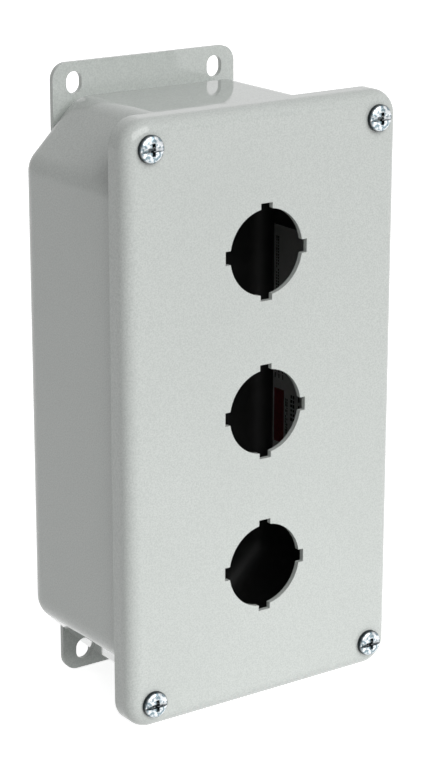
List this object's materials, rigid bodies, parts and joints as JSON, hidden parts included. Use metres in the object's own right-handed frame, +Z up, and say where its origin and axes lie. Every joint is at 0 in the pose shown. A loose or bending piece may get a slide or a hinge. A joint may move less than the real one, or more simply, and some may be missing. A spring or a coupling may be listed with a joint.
{
  "type": "push button enclosure",
  "caption": "Surface-mounted steel push-button station enclosure: drawn box, screwed pan cover with a row of notched round device holes, and slotted wall feet.",
  "frame": {"origin": "centre of the mounting strap's back face, which lies on the wall", "axes": "+X to the right seen from the front, +Z up, +Y into the wall; the cover faces -Y"},
  "size_m": [0.1142, 0.0789, 0.2306],
  "materials": {
    "grey_enamel": "gloss baked enamel, pale green-grey",
    "zinc_plate": "bright zinc plate",
    "black_rubber": "matte closed-cell rubber",
    "nylon": "natural nylon",
    "label_film": "printed film"
  },
  "bodies": {
    "box": {"box_shell": "grey_enamel", "mounting_strap": "grey_enamel", "ground_stud": "zinc_plate", "ground_washer": "zinc_plate", "ground_nut": "zinc_plate", "inside_label": "label_film", "corner_lug_top_left": "grey_enamel", "corner_lug_top_right": "grey_enamel", "corner_lug_bottom_left": "grey_enamel", "corner_lug_bottom_right": "grey_enamel", "clinch_nut_top_left": "zinc_plate", "clinch_nut_top_right": "zinc_plate", "clinch_nut_bottom_left": "zinc_plate", "clinch_nut_bottom_right": "zinc_plate"},
    "cover": {"cover": "grey_enamel", "cover_gasket": "black_rubber"},
    "retainer_top_left": {"screw_retainer_top_left": "nylon"},
    "screw_top_left": {"cover_screw_top_left": "zinc_plate"},
    "retainer_top_right": {"screw_retainer_top_right": "nylon"},
    "screw_top_right": {"cover_screw_top_right": "zinc_plate"},
    "retainer_bottom_left": {"screw_retainer_bottom_left": "nylon"},
    "screw_bottom_left": {"cover_screw_bottom_left": "zinc_plate"},
    "retainer_bottom_right": {"screw_retainer_bottom_right": "nylon"},
    "screw_bottom_right": {"cover_screw_bottom_right": "zinc_plate"}
  },
  "joints": [
    {"name": "cover_lift_off", "type": "slide", "parent": "box", "child": "cover", "axis": [0, -1, 0], "range_m": [0, 0.06]},
    {"name": "screw_back_out_top_left", "type": "slide", "parent": "cover", "child": "retainer_top_left", "axis": [0, -1, 0], "range_m": [0, 0.00397]},
    {"name": "screw_turn_top_left", "type": "hinge", "parent": "retainer_top_left", "child": "screw_top_left", "pos_m": [-0.04763, -0.0762, 0.09842], "axis": [0, -1, 0], "range_deg": [0, 1801]},
    {"name": "screw_back_out_top_right", "type": "slide", "parent": "cover", "child": "retainer_top_right", "axis": [0, -1, 0], "range_m": [0, 0.00397]},
    {"name": "screw_turn_top_right", "type": "hinge", "parent": "retainer_top_right", "child": "screw_top_right", "pos_m": [0.04763, -0.0762, 0.09842], "axis": [0, -1, 0], "range_deg": [0, 1801]},
    {"name": "screw_back_out_bottom_left", "type": "slide", "parent": "cover", "child": "retainer_bottom_left", "axis": [0, -1, 0], "range_m": [0, 0.00397]},
    {"name": "screw_turn_bottom_left", "type": "hinge", "parent": "retainer_bottom_left", "child": "screw_bottom_left", "pos_m": [-0.04763, -0.0762, -0.09842], "axis": [0, -1, 0], "range_deg": [0, 1801]},
    {"name": "screw_back_out_bottom_right", "type": "slide", "parent": "cover", "child": "retainer_bottom_right", "axis": [0, -1, 0], "range_m": [0, 0.00397]},
    {"name": "screw_turn_bottom_right", "type": "hinge", "parent": "retainer_bottom_right", "child": "screw_bottom_right", "pos_m": [0.04763, -0.0762, -0.09842], "axis": [0, -1, 0], "range_deg": [0, 1801]}
  ],
  "couplings": [
    {"joint": "screw_turn_top_left", "follows": "screw_back_out_top_left", "rad_per_m": 7915.8},
    {"joint": "screw_turn_top_right", "follows": "screw_back_out_top_right", "rad_per_m": 7915.8},
    {"joint": "screw_turn_bottom_left", "follows": "screw_back_out_bottom_left", "rad_per_m": 7915.8},
    {"joint": "screw_turn_bottom_right", "follows": "screw_back_out_bottom_right", "rad_per_m": 7915.8}
  ]
}
